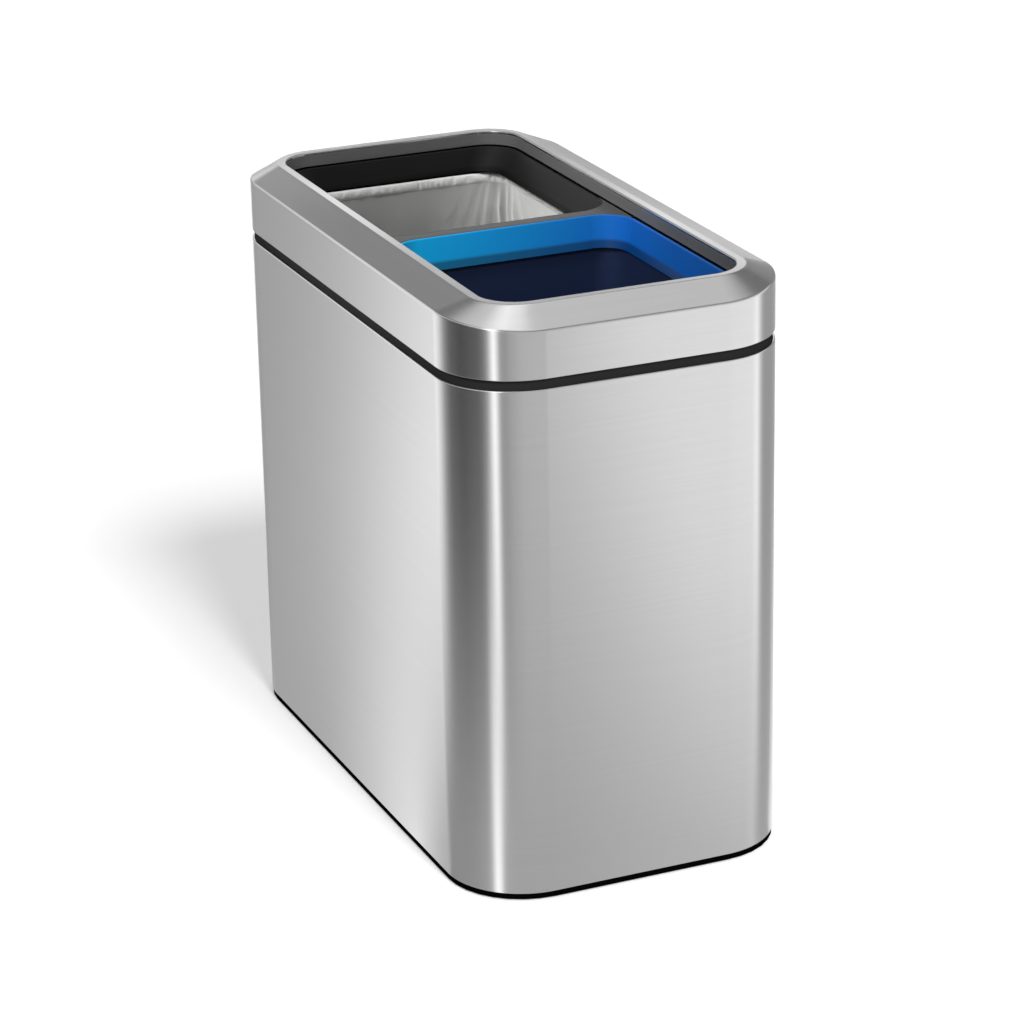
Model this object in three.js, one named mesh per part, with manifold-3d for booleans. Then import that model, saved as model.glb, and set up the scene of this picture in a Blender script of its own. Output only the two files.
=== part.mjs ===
// Double recycling bin: a brushed steel body on a black base, a lift-off steel rim,
// and two lift-out buckets side by side, each under its own funnel ring.
// Millimetres, +Z up. The origin is on the floor under the middle of the body,
// X runs across the narrow width and Y along the length.

import * as THREE from 'three';
import { mergeVertices } from 'three/addons/utils/BufferGeometryUtils.js';
import Module from 'manifold-3d';

const wasm = await Module();
wasm.setup();

// ---- Driving dimensions -------------------------------------------------------------

const WIDTH = 250;
const LENGTH = 470;
const CORNER_RADIUS = 58;

const FIT_GAP = 0.3;
const SHEET = 0.6;
const EDGE_CHAMFER = 0.5;

// Base and feet
const FOOT_HEIGHT = 5.2;
const FOOT_RADIUS = 15;
const FOOT_INSET = 43;
const BASE_CLEARANCE = 1;
const BASE_BAND = 3.7;
const BASE_BAND_INSET = 0.4;
const BASE_WALL = 2;
const BASE_FLOOR = 2.5;
const BASE_UPSTAND = 6;
const STOP_RIB_HEIGHT = 5;
const STOP_RIB_GAP = 1;

// Body shell
const SHELL_HEIGHT = 370.8;
const SHELL_TOP_LIP = 1.6;
const SHELL_FLANGE = 12;

// Base screws
const SCREW_RADIUS = 1.6;
const SCREW_HEAD_RADIUS = 3.5;
const SCREW_HEAD_HEIGHT = 1;
const SCREW_LENGTH = 7;
const SCREW_HOLE_GAP = 0.4;
const SIDE_SCREW_Y = 120;

// Collar between the body and the rim
const SHADOW_BAND = 7;
const COLLAR_WALL = 2;
const COLLAR_TUCK = 13;
const COLLAR_NECK = 17;
const COLLAR_LEDGE = 11;
const COLLAR_LEDGE_DROP = 4;

// Rim: its bevel is steeper at the short ends than along the sides
const RIM_SIDE_BAND = 39.6;
const RIM_END_BAND = 34;
const RIM_HEIGHT = 48.2;
const RIM_BOTTOM_LIP = 1.6;
const HEM_WIDTH = 7.5;
const HEM_EDGE_DROP = 2;
const HEM_ROUND = 0.8;
const OPENING_INSET_X = 29.8;
const OPENING_INSET_Y = 23.5;
const OPENING_RADIUS = 28;

// Rim liner, the dark inner skirt and the frame that carries the rim
const SKIRT_DEPTH = 11.1;
const LINER_WALL = 1.8;
const LINER_LEG_INSET = 9;
const LINER_WEB = 2;

// Funnel rings and the deck between them
const RING_GAP = 1.2;
const RING_DROP = 0.7;
const DECK_WIDTH = 10.8;
const DECK_THICKNESS = 1.6;
const DECK_GAP = 0.5;
const DECK_TIP_WIDTH = 1;
const DECK_RIB_HEIGHT = 6;
const RING_WALL = 1.4;
const RING_LAND = 1.8;
const RING_SKIRT = 33;
const FUNNEL_INSET = 5;
const FUNNEL_DEPTH = 17.2;
const LIP_INSET = 8;
const LIP_DEPTH = 6;
const LANDFILL_FUNNEL_SIDE = 10;
const LANDFILL_FUNNEL_END = 4;
const LANDFILL_FUNNEL_DEPTH = 14.5;
const LANDFILL_LIP_SIDE = 14.5;
const LANDFILL_LIP_END = 5.5;

// Buckets and bag
const BUCKET_WALL = 2;
const BUCKET_DRAFT = 9;
const BUCKET_FLANGE = 2.5;
const BAG_FILM = 0.4;
const BAG_CUFF = 7;

const FINE_STEPS = 12;
const PLAIN_STEPS = 8;
const ROUND_STEPS = 24;

// ---- Levels and outlines worked out from them ----------------------------------------

const bandBottom = BASE_CLEARANCE;
const bandTop = bandBottom + BASE_BAND;
const shellBottom = bandTop + FIT_GAP;
const shellTop = shellBottom + SHELL_HEIGHT;
const footTop = FOOT_HEIGHT;
const floorBottom = footTop + FIT_GAP;
const floorTop = floorBottom + BASE_FLOOR;
const rimBottom = shellTop + SHADOW_BAND;
const rimTop = rimBottom + RIM_HEIGHT;
const collarTop = shellTop + SHADOW_BAND + COLLAR_NECK;
const ledgeTop = collarTop - COLLAR_LEDGE_DROP;
const hemEdge = rimTop - HEM_EDGE_DROP;
const skirtBottom = rimTop - SKIRT_DEPTH;
const ringTop = skirtBottom - RING_DROP;
const ringBottom = ringTop - RING_SKIRT;
const funnelBottom = ringTop - FUNNEL_DEPTH;
const lipBottom = funnelBottom - LIP_DEPTH;
const bucketBottom = floorTop + FIT_GAP;

const flangeInner = SHELL_FLANGE + FIT_GAP;
const screwInset = SHELL_FLANGE / 2;
const collarInset = SHELL_TOP_LIP + FIT_GAP;
const screwHoleRadius = SCREW_RADIUS + SCREW_HOLE_GAP;

// An outline is a rounded rectangle seen from above.
const outline = (halfX, halfY, radius, centreY = 0) => ({ halfX, halfY, radius, centreY });

const insetBy = (base, x, y = x, radius = Math.max(base.radius - x, EDGE_CHAMFER)) => (
  outline(base.halfX - x, base.halfY - y, radius, base.centreY)
);

const body = outline(WIDTH / 2, LENGTH / 2, CORNER_RADIUS);
const opening = insetBy(body, OPENING_INSET_X, OPENING_INSET_Y, OPENING_RADIUS);
const hemOuter = insetBy(opening, -HEM_WIDTH);
const ringSpace = insetBy(opening, RING_GAP);

// Each compartment reaches from the deck to its own end of the opening.
const compartmentHalf = (ringSpace.halfY - DECK_WIDTH / 2) / 2;
const compartmentY = (ringSpace.halfY + DECK_WIDTH / 2) / 2;
const landfillSpace = outline(ringSpace.halfX, compartmentHalf, ringSpace.radius, compartmentY);
const recyclingSpace = outline(ringSpace.halfX, compartmentHalf, ringSpace.radius, -compartmentY);

// ---- Building lofted solids -----------------------------------------------------------

// Walks an outline anticlockwise. A level may be a number, or a side level and an end
// level that blend round the corners.
function loopPoints(shape, level, steps) {
  const points = [];
  for (let corner = 0; corner < 4; corner += 1) {
    for (let step = 0; step <= steps; step += 1) {
      const angle = (corner + step / steps) * Math.PI / 2;
      const signX = corner === 0 || corner === 3 ? 1 : -1;
      const signY = corner < 2 ? 1 : -1;
      const x = signX * (shape.halfX - shape.radius) + shape.radius * Math.cos(angle);
      const y = signY * (shape.halfY - shape.radius) + shape.radius * Math.sin(angle);
      const z = typeof level === 'number'
        ? level
        : level.side * Math.cos(angle) ** 2 + level.end * Math.sin(angle) ** 2;
      points.push(x, y + shape.centreY, z);
    }
  }
  return points;
}

// Joins loops, listed as [outline, level], into one closed solid. The section runs up the
// outside, over the top and down the inside. A ring closes on itself, and a cup is capped
// on its first loop, which faces down, and on its last, which faces up.
function loft(loops, { cup = false, steps = PLAIN_STEPS } = {}) {
  const count = 4 * (steps + 1);
  const positions = loops.flatMap(([shape, level]) => loopPoints(shape, level, steps));
  const faces = [];
  const spans = cup ? loops.length - 1 : loops.length;
  for (let span = 0; span < spans; span += 1) {
    const low = span * count;
    const high = ((span + 1) % loops.length) * count;
    for (let i = 0; i < count; i += 1) {
      const next = (i + 1) % count;
      faces.push(low + i, low + next, high + next, low + i, high + next, high + i);
    }
  }
  if (cup) {
    const last = (loops.length - 1) * count;
    const bottom = loops.length * count;
    const [bottomShape, bottomLevel] = loops[0];
    const [topShape, topLevel] = loops[loops.length - 1];
    positions.push(0, bottomShape.centreY, bottomLevel, 0, topShape.centreY, topLevel);
    for (let i = 0; i < count; i += 1) {
      const next = (i + 1) % count;
      faces.push(bottom, next, i, bottom + 1, last + i, last + next);
    }
  }
  const geometry = new THREE.BufferGeometry();
  geometry.setAttribute('position', new THREE.Float32BufferAttribute(positions, 3));
  geometry.setIndex(faces);
  return geometry;
}

// A section of one wall, listed as [inset, level], swept round one outline. An inset may be
// a number, or one for the sides and a smaller one for the ends.
const sweep = (shape, section, options) => (
  loft(section.map(([inset, level]) => [
    typeof inset === 'number'
      ? insetBy(shape, inset)
      : insetBy(shape, inset.side, inset.end, shape.radius - inset.end),
    level,
  ]), options)
);

function toSolid(geometry) {
  const bare = geometry.clone();
  bare.deleteAttribute('normal');
  bare.deleteAttribute('uv');
  const merged = mergeVertices(bare, 1e-5);
  const vertProperties = new Float32Array(merged.attributes.position.array);
  const triVerts = new Uint32Array(merged.index.array);
  return new wasm.Manifold(new wasm.Mesh({ numProp: 3, vertProperties, triVerts }));
}

function toGeometry(solid) {
  const mesh = solid.getMesh();
  const geometry = new THREE.BufferGeometry();
  geometry.setAttribute('position', new THREE.BufferAttribute(mesh.vertProperties, 3));
  geometry.setIndex(new THREE.BufferAttribute(mesh.triVerts, 1));
  return geometry;
}

// An upright block with an outline's section, between two levels.
const prism = (shape, low, high) => toSolid(loft([[shape, low], [shape, high]], { cup: true }));

function upright(radius, low, high) {
  const cylinder = new THREE.CylinderGeometry(radius, radius, high - low, ROUND_STEPS);
  return cylinder.rotateX(Math.PI / 2).translate(0, 0, (low + high) / 2);
}

const turned = (profile) => (
  new THREE.LatheGeometry(profile.map(([r, z]) => new THREE.Vector2(r, z)), ROUND_STEPS)
    .rotateX(Math.PI / 2)
);

// ---- Materials ------------------------------------------------------------------------

const material = (color, roughness, metalness) => (
  new THREE.MeshStandardMaterial({ color, roughness, metalness })
);

const materials = {
  steel: material(0xb9babb, 0.32, 1),
  zinc: material(0x8d8f92, 0.4, 1),
  blackPlastic: material(0x161617, 0.55, 0),
  darkPlastic: material(0x3a3a3a, 0.45, 0),
  charcoal: material(0x343332, 0.6, 0),
  rubber: material(0x101010, 0.9, 0),
  greyPlastic: material(0x4a4a4b, 0.6, 0),
  navyPlastic: material(0x11164a, 0.5, 0),
  bluePlastic: material(0x0b79c4, 0.4, 0),
  film: material(0xe6e6e3, 0.35, 0),
};

const bin = new THREE.Group();

function addMesh(name, geometry, surface) {
  geometry.computeVertexNormals();
  const mesh = new THREE.Mesh(geometry, surface);
  mesh.name = name;
  bin.add(mesh);
  return mesh;
}

// ---- Places that repeat ---------------------------------------------------------------

const signs = [[1, 1], [-1, 1], [-1, -1], [1, -1]];

const footPlaces = signs.map(([x, y]) => (
  [x * (body.halfX - FOOT_INSET), y * (body.halfY - FOOT_INSET)]
));

const screwPlaces = [
  ...signs.map(([x, y]) => [x * (body.halfX - screwInset), y * SIDE_SCREW_Y]),
  [0, body.halfY - screwInset],
  [0, -(body.halfY - screwInset)],
];

function drillScrewHoles(solid) {
  return screwPlaces.reduce((part, [x, y]) => {
    const hole = upright(screwHoleRadius, 0, floorTop).translate(x, y, 0);
    return part.subtract(toSolid(hole));
  }, solid);
}

// ---- Body shell -----------------------------------------------------------------------

// One sheet: upright wall, a short lip turned in at the top, a flange turned in below.
function bodyShell() {
  const section = [
    [EDGE_CHAMFER, shellBottom],
    [0, shellBottom + EDGE_CHAMFER],
    [0, shellTop - EDGE_CHAMFER],
    [EDGE_CHAMFER, shellTop],
    [SHELL_TOP_LIP, shellTop],
    [SHELL_TOP_LIP, shellTop - SHEET],
    [SHEET, shellTop - SHEET - EDGE_CHAMFER],
    [SHEET, shellBottom + SHEET],
    [SHELL_FLANGE, shellBottom + SHEET],
    [SHELL_FLANGE, shellBottom],
  ];
  return toGeometry(drillScrewHoles(toSolid(sweep(body, section, { steps: FINE_STEPS }))));
}

addMesh('body_shell', bodyShell(), materials.steel);

// ---- Base, feet and screws --------------------------------------------------------------

const bucketFoot = (space) => insetBy(space, FUNNEL_INSET - BUCKET_WALL + BUCKET_DRAFT);

function stopRib(space) {
  const inside = insetBy(bucketFoot(space), -STOP_RIB_GAP);
  const outside = insetBy(inside, -BASE_WALL);
  const low = floorTop - BASE_FLOOR / 2;
  const high = floorTop + STOP_RIB_HEIGHT;
  return toSolid(loft([[outside, low], [outside, high], [inside, high], [inside, low]]));
}

function baseTray() {
  const skirtInner = BASE_BAND_INSET + BASE_WALL;
  const plateBottom = bandTop - BASE_FLOOR;
  const section = [
    [flangeInner + BASE_WALL, floorBottom],
    [flangeInner + BASE_WALL, plateBottom],
    [skirtInner, plateBottom],
    [skirtInner, bandBottom],
    [BASE_BAND_INSET, bandBottom],
    [BASE_BAND_INSET, bandTop],
    [flangeInner, bandTop],
    [flangeInner, floorTop + BASE_UPSTAND],
    [flangeInner + BASE_WALL, floorTop + BASE_UPSTAND],
    [flangeInner + BASE_WALL, floorTop],
  ];
  const tray = toSolid(sweep(body, section, { cup: true }))
    .add(stopRib(landfillSpace))
    .add(stopRib(recyclingSpace));
  return toGeometry(drillScrewHoles(tray));
}

addMesh('base_tray', baseTray(), materials.blackPlastic);

const footProfile = [
  [0, 0],
  [FOOT_RADIUS - EDGE_CHAMFER, 0],
  [FOOT_RADIUS, EDGE_CHAMFER],
  [FOOT_RADIUS, footTop],
  [0, footTop],
];

footPlaces.forEach(([x, y], index) => {
  const foot = addMesh(`foot_${index + 1}`, turned(footProfile), materials.rubber);
  foot.position.set(x, y, 0);
});

// Pan-head screws come up through the base band and the shell's flange.
const screwSeat = bandTop - BASE_FLOOR - FIT_GAP;
const screwProfile = [
  [0, screwSeat - SCREW_HEAD_HEIGHT],
  [SCREW_HEAD_RADIUS - EDGE_CHAMFER, screwSeat - SCREW_HEAD_HEIGHT],
  [SCREW_HEAD_RADIUS, screwSeat - SCREW_HEAD_HEIGHT + EDGE_CHAMFER],
  [SCREW_HEAD_RADIUS, screwSeat],
  [SCREW_RADIUS, screwSeat],
  [SCREW_RADIUS, screwSeat + SCREW_LENGTH - SCREW_RADIUS],
  [0, screwSeat + SCREW_LENGTH],
];

screwPlaces.forEach(([x, y], index) => {
  const screw = addMesh(`base_screw_${index + 1}`, turned(screwProfile), materials.zinc);
  screw.position.set(x, y, 0);
});

// ---- Collar ---------------------------------------------------------------------------

// The collar's shoulder sits under the shell's lip. Its neck shows as the dark band and
// runs on up inside the rim, whose weight its ledge carries.
function collar() {
  const shoulder = shellTop - SHEET - EDGE_CHAMFER - FIT_GAP;
  const tuckInset = SHEET + FIT_GAP;
  const tuckBottom = shoulder - COLLAR_TUCK;
  const neckInner = collarInset + COLLAR_WALL;
  const ledgeInner = neckInner + COLLAR_LEDGE;
  return sweep(body, [
    [tuckInset, tuckBottom],
    [tuckInset, shoulder],
    [collarInset, shoulder],
    [collarInset, collarTop],
    [neckInner, collarTop],
    [neckInner, ledgeTop],
    [ledgeInner, ledgeTop],
    [ledgeInner, ledgeTop - COLLAR_WALL],
    [neckInner, ledgeTop - COLLAR_WALL],
    [neckInner, shoulder],
    [tuckInset + COLLAR_WALL, tuckBottom],
  ]);
}

addMesh('top_collar', collar(), materials.darkPlastic);

// ---- Rim ------------------------------------------------------------------------------

// Upright band, bevel and flat hem in one sheet. The inside repeats the outside, one
// sheet thickness in.
function rimSkin() {
  const bandEdge = { side: rimBottom + RIM_SIDE_BAND, end: rimBottom + RIM_END_BAND };
  const insideEdge = { side: bandEdge.side - SHEET, end: bandEdge.end - SHEET };
  const bevelFoot = { side: bandEdge.side - EDGE_CHAMFER, end: bandEdge.end - EDGE_CHAMFER };
  return loft([
    [insetBy(body, EDGE_CHAMFER), rimBottom],
    [body, rimBottom + EDGE_CHAMFER],
    [body, bevelFoot],
    [insetBy(body, EDGE_CHAMFER), bandEdge],
    [hemOuter, rimTop - HEM_ROUND / 2],
    [insetBy(hemOuter, HEM_ROUND), rimTop],
    [insetBy(opening, -HEM_ROUND), rimTop],
    [opening, rimTop - HEM_ROUND],
    [opening, hemEdge],
    [insetBy(opening, -SHEET), hemEdge],
    [insetBy(opening, -SHEET), rimTop - HEM_ROUND],
    [insetBy(hemOuter, SHEET), rimTop - HEM_ROUND / 2 - SHEET],
    [insetBy(body, SHEET), insideEdge],
    [insetBy(body, SHEET), rimBottom + SHEET],
    [insetBy(body, RIM_BOTTOM_LIP), rimBottom + SHEET],
    [insetBy(body, RIM_BOTTOM_LIP), rimBottom],
  ], { steps: FINE_STEPS });
}

addMesh('rim_skin', rimSkin(), materials.steel);

// A frame under the steel: the inner skirt seen in the opening, a web that follows the
// lower of the two bevels, and a leg that stands on the collar's ledge.
function rimLiner() {
  const skirtTop = hemEdge - FIT_GAP;
  const skirtOuter = insetBy(opening, -LINER_WALL);
  const legOuter = insetBy(body, LINER_LEG_INSET);
  const legInner = insetBy(legOuter, LINER_WALL);
  const lowerBevel = rimBottom + Math.min(RIM_SIDE_BAND, RIM_END_BAND);
  const legTop = lowerBevel - SHEET - FIT_GAP;
  const webBottom = skirtBottom + FIT_GAP;
  const legBottom = ledgeTop + FIT_GAP;
  return loft([
    [legOuter, legBottom],
    [legOuter, legTop],
    [skirtOuter, webBottom + LINER_WEB],
    [skirtOuter, skirtTop],
    [opening, skirtTop],
    [opening, skirtBottom],
    [skirtOuter, skirtBottom],
    [skirtOuter, webBottom],
    [legInner, legTop - LINER_WEB],
    [legInner, legBottom],
  ]);
}

addMesh('rim_liner', rimLiner(), materials.darkPlastic);

// ---- Funnel rings -----------------------------------------------------------------------

// The hidden side of a sloped wall: its inset at a level, one wall thickness behind the
// line from one [inset, level] to another.
function wallBack([insetA, levelA], [insetB, levelB]) {
  const slope = (insetB - insetA) / (levelA - levelB);
  const shift = RING_WALL * Math.hypot(1, slope);
  return {
    insetAt: (level) => insetA + slope * (levelA - level) - shift,
    levelAt: (inset) => levelA - (inset + shift - insetA) / slope,
    slope,
  };
}

const lipBack = wallBack([FUNNEL_INSET, funnelBottom], [LIP_INSET, lipBottom]);

// How far the funnel and its lip stand in, and where each ends, on one wall of a ring.
const funnelWall = (funnelInset, funnelDepth, lipInset) => {
  const bottom = ringTop - funnelDepth;
  const lipEnd = bottom - LIP_DEPTH;
  const back = wallBack([RING_LAND, ringTop], [funnelInset, bottom]);
  const under = wallBack([funnelInset, bottom], [lipInset, lipEnd]);
  const offset = under.insetAt(bottom) - back.insetAt(bottom);
  const corner = bottom - offset / (back.slope - under.slope);
  return [
    [0, ringBottom],
    [0, ringTop - EDGE_CHAMFER],
    [EDGE_CHAMFER, ringTop],
    [RING_LAND, ringTop],
    [funnelInset, bottom],
    [lipInset, lipEnd],
    [under.insetAt(lipEnd), lipEnd],
    [back.insetAt(corner), corner],
    [RING_WALL, back.levelAt(RING_WALL)],
    [RING_WALL, ringBottom],
  ];
};

// An upside-down V: the outer skirt hangs outside the bucket's rim, and the funnel slopes
// in over it and ends in a steeper lip inside the bucket. The landfill ring's hole is
// narrower, so its side walls lean in further than its end walls.
function funnelRing(space, sideWall, endWall) {
  return sweep(space, sideWall.map(([side, sideLevel], i) => {
    const [end, endLevel] = endWall[i];
    return [{ side, end }, { side: sideLevel, end: endLevel }];
  }));
}

const recyclingWall = funnelWall(FUNNEL_INSET, FUNNEL_DEPTH, LIP_INSET);
const landfillSideWall = funnelWall(
  LANDFILL_FUNNEL_SIDE, LANDFILL_FUNNEL_DEPTH, LANDFILL_LIP_SIDE,
);
const landfillEndWall = funnelWall(
  LANDFILL_FUNNEL_END, LANDFILL_FUNNEL_DEPTH, LANDFILL_LIP_END,
);

// The deck fills the space between the two rings, round both rings' corners. Where it
// runs out beside a round corner, it ends while it is still DECK_TIP_WIDTH wide.
function deck() {
  const notch = insetBy(recyclingSpace, -DECK_GAP);
  const kept = notch.radius - DECK_TIP_WIDTH - DECK_GAP;
  const tipReach = notch.radius - Math.sqrt(notch.radius ** 2 - kept ** 2);
  const tipY = recyclingSpace.centreY + notch.halfY - tipReach;
  const low = ringTop - DECK_THICKNESS;
  const backY = landfillSpace.centreY - landfillSpace.halfY + landfillSpace.radius;
  const plate = new THREE.BoxGeometry(2 * ringSpace.halfX, backY - tipY, DECK_THICKNESS)
    .translate(0, (backY + tipY) / 2, (low + ringTop) / 2);
  const ribWidth = 2 * (ringSpace.halfX - ringSpace.radius);
  const ribDepth = DECK_RIB_HEIGHT + DECK_THICKNESS / 2;
  const rib = new THREE.BoxGeometry(ribWidth, DECK_THICKNESS, ribDepth)
    .translate(0, 0, low - DECK_RIB_HEIGHT + ribDepth / 2);
  return toSolid(plate)
    .subtract(prism(notch, ringBottom, rimTop))
    .subtract(prism(insetBy(landfillSpace, RING_WALL / 2), ringBottom, rimTop))
    .add(toSolid(rib));
}

const landfillFunnel = funnelRing(landfillSpace, landfillSideWall, landfillEndWall);
const landfillRing = toGeometry(toSolid(landfillFunnel).add(deck()));

addMesh('landfill_ring', landfillRing, materials.charcoal);
addMesh(
  'recycling_ring',
  funnelRing(recyclingSpace, recyclingWall, recyclingWall),
  materials.bluePlastic,
);

// ---- Buckets and bag --------------------------------------------------------------------

// The bucket's rim stands inside the ring's skirt, clear of the ring's wall and of a bag
// folded over it. The ring's skirt rests on the bucket's flange.
const bagReach = BAG_FILM + FIT_GAP;
const rimOutset = RING_WALL + FIT_GAP + bagReach;
const lipClearance = FIT_GAP * Math.hypot(1, lipBack.slope) / lipBack.slope;
const bagTop = lipBack.levelAt(FUNNEL_INSET + bagReach) - lipClearance;
const bucketTop = bagTop - bagReach;
const flangeTop = ringBottom - FIT_GAP;
const bucketFloorTop = bucketBottom + BUCKET_WALL;

function bucket(space) {
  const outerTop = FUNNEL_INSET - BUCKET_WALL;
  return sweep(space, [
    [outerTop + BUCKET_DRAFT, bucketBottom],
    [outerTop, flangeTop - BUCKET_FLANGE],
    [0, flangeTop - BUCKET_FLANGE],
    [0, flangeTop],
    [rimOutset, flangeTop],
    [rimOutset, bucketTop],
    [FUNNEL_INSET, bucketTop],
    [FUNNEL_INSET, flangeTop],
    [FUNNEL_INSET + BUCKET_DRAFT, bucketFloorTop],
  ], { cup: true });
}

addMesh('landfill_bucket', bucket(landfillSpace), materials.greyPlastic);
addMesh('recycling_bucket', bucket(recyclingSpace), materials.navyPlastic);

// The bag lines the landfill bucket and folds over its rim in a short cuff.
function bag() {
  const lining = FUNNEL_INSET + FIT_GAP;
  const cuffOuter = rimOutset - bagReach;
  return sweep(landfillSpace, [
    [lining + BUCKET_DRAFT, bucketFloorTop + FIT_GAP],
    [lining, flangeTop],
    [lining, bucketTop + FIT_GAP],
    [rimOutset - FIT_GAP, bucketTop + FIT_GAP],
    [rimOutset - FIT_GAP, bucketTop - BAG_CUFF],
    [cuffOuter, bucketTop - BAG_CUFF],
    [cuffOuter, bagTop],
    [lining + BAG_FILM, bagTop],
    [lining + BAG_FILM, flangeTop],
    [lining + BAG_FILM + BUCKET_DRAFT, bucketFloorTop + bagReach],
  ], { cup: true });
}

addMesh('landfill_bag', bag(), materials.film);

export default bin;
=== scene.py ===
# %% [markdown]
# # A double recycling bin
# The real bin is a slim steel box that stands in an office or a kitchen. Two buckets
# stand side by side in it, one lined with a bag and one bare, each under its own plastic
# funnel ring. A steel rim lifts off to let the buckets out. The CAD frame gives every
# size. Here each part gets its fine surface: rolled edges, round corners that carry a
# clean reflection, and a finish with the grain of the real one.

# %% Load the frame
import math
import random

import bpy
from mathutils import Matrix, Vector, noise


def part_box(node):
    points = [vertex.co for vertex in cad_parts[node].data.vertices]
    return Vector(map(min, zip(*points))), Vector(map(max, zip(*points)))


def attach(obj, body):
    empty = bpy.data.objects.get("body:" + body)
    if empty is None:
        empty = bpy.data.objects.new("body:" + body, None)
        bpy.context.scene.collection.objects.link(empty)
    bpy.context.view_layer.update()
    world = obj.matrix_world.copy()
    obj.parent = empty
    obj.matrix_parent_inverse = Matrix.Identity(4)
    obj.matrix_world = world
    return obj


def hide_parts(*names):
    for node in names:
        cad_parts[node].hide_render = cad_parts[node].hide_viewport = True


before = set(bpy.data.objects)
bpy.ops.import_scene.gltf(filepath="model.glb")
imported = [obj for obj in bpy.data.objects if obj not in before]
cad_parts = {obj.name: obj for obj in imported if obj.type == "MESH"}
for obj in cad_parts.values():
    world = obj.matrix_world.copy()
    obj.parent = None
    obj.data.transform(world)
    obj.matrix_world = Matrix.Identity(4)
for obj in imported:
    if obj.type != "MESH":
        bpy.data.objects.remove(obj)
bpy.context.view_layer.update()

# %% [markdown]
# ## The camera
# A camera matches a photograph when it stands where the photographer's stood. A long
# lens far away keeps the bin's upright edges nearly parallel, and a small roll is how the
# camera was held. Only place, direction and lens are set, with no shift and no blur, so
# that every other view of the bin works as well.

# %% Camera
CAMERA_PLACE = Vector((-1.0015, -2.3762, 1.1660))
CAMERA_AZIMUTH = math.radians(-22.951)
CAMERA_ELEVATION = math.radians(20.578)
CAMERA_ROLL = math.radians(-1.149)
CAMERA_LENS = 130.33
SENSOR_WIDTH = 36.0


def camera_axes(azimuth, elevation, roll):
    """Right, up and back of a camera that looks at the bin from this direction."""
    back = Vector((
        math.sin(azimuth) * math.cos(elevation),
        -math.cos(azimuth) * math.cos(elevation),
        math.sin(elevation),
    ))
    level = Vector((0, 0, 1)).cross(back).normalized()
    upright = back.cross(level)
    right = math.cos(roll) * level + math.sin(roll) * upright
    up = -math.sin(roll) * level + math.cos(roll) * upright
    return right, up, back


camera_data = bpy.data.cameras.new("camera")
camera_data.lens = CAMERA_LENS
camera_data.sensor_width = SENSOR_WIDTH
camera = bpy.data.objects.new("camera", camera_data)
bpy.context.scene.collection.objects.link(camera)
turn = Matrix(camera_axes(CAMERA_AZIMUTH, CAMERA_ELEVATION, CAMERA_ROLL)).transposed()
camera.matrix_world = Matrix.Translation(CAMERA_PLACE) @ turn.to_4x4()
bpy.context.scene.camera = camera
print("camera stands", round(CAMERA_PLACE.length, 2), "m from the bin")

# %% [markdown]
# ## Loops and lofts
# Every large part of this bin is a wall that runs round a rounded rectangle: the shell,
# the rim, the rings and the buckets. Such a part could be cut from a block and bevelled,
# but a loft is cleaner. A loop is a rounded rectangle at a level, a few loops in a row
# are the wall's section, and softening the section rolls its edges as a press or a mould
# does. The corners get many steps, because a mirror-like sheet shows every facet.

# %% Loops
MM = 0.001
CORNER_STEPS = 28


def inset(base, x, y=None, radius=None):
    """An outline, moved inwards by x at the sides and y at the ends."""
    y = x if y is None else y
    radius = max(base[2] - x, 0.5 * MM) if radius is None else radius
    return (base[0] - x, base[1] - y, radius, base[3])


def at(outline, side, end=None):
    """A loop: an outline with a level along its sides and one at its ends."""
    return (*outline, side, side if end is None else end)


def soften(section, radius, steps=3, closed=True):
    """Rolls each corner of a section over a short curve, as bent or moulded edges are."""
    section = [(item, radius) if not isinstance(item[0], tuple) else item for item in section]
    count = len(section)
    softened = []
    for i, (here, roll) in enumerate(section):
        if (not closed and i in (0, count - 1)) or roll == 0:
            softened.append(here)
            continue
        before, after = section[i - 1][0], section[(i + 1) % count][0]
        ends = []
        for other in (before, after):
            span = math.hypot(other[0] - here[0], other[4] - here[4])
            share = min(roll, 0.45 * span) / max(span, 1e-9)
            ends.append([h + (o - h) * share for h, o in zip(here, other)])
        for k in range(steps + 1):
            t = k / steps
            weights = ((1 - t) ** 2, 2 * t * (1 - t), t ** 2)
            softened.append(tuple(
                weights[0] * a + weights[1] * h + weights[2] * b
                for a, h, b in zip(ends[0], here, ends[1])
            ))
    return softened


def walk(shape):
    """The points of one loop, anticlockwise from above."""
    half_x, half_y, radius, centre_y, side, end = shape
    points = []
    for corner in range(4):
        sign_x = 1 if corner in (0, 3) else -1
        sign_y = 1 if corner < 2 else -1
        for step in range(CORNER_STEPS + 1):
            angle = (corner + step / CORNER_STEPS) * math.pi / 2
            points.append(Vector((
                sign_x * (half_x - radius) + radius * math.cos(angle),
                sign_y * (half_y - radius) + radius * math.sin(angle) + centre_y,
                side * math.cos(angle) ** 2 + end * math.sin(angle) ** 2,
            )))
    return points


def loft(section, cup=False):
    """Vertices and faces of a wall with this section; a cup is closed at both ends."""
    count = 4 * (CORNER_STEPS + 1)
    points = [point for shape in section for point in walk(shape)]
    faces = []
    spans = len(section) - 1 if cup else len(section)
    for span in range(spans):
        low, high = span * count, (span + 1) % len(section) * count
        for i in range(count):
            following = (i + 1) % count
            faces.append((low + i, low + following, high + following, high + i))
    if cup:
        last = (len(section) - 1) * count
        faces.append(tuple(range(count - 1, -1, -1)))
        faces.append(tuple(range(last, last + count)))
    return points, faces


def new_object(name, points, faces, material):
    mesh = bpy.data.meshes.new(name)
    mesh.from_pydata(points, [], faces)
    mesh.materials.append(material)
    made = bpy.data.objects.new(name, mesh)
    bpy.context.scene.collection.objects.link(made)
    return made


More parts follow.
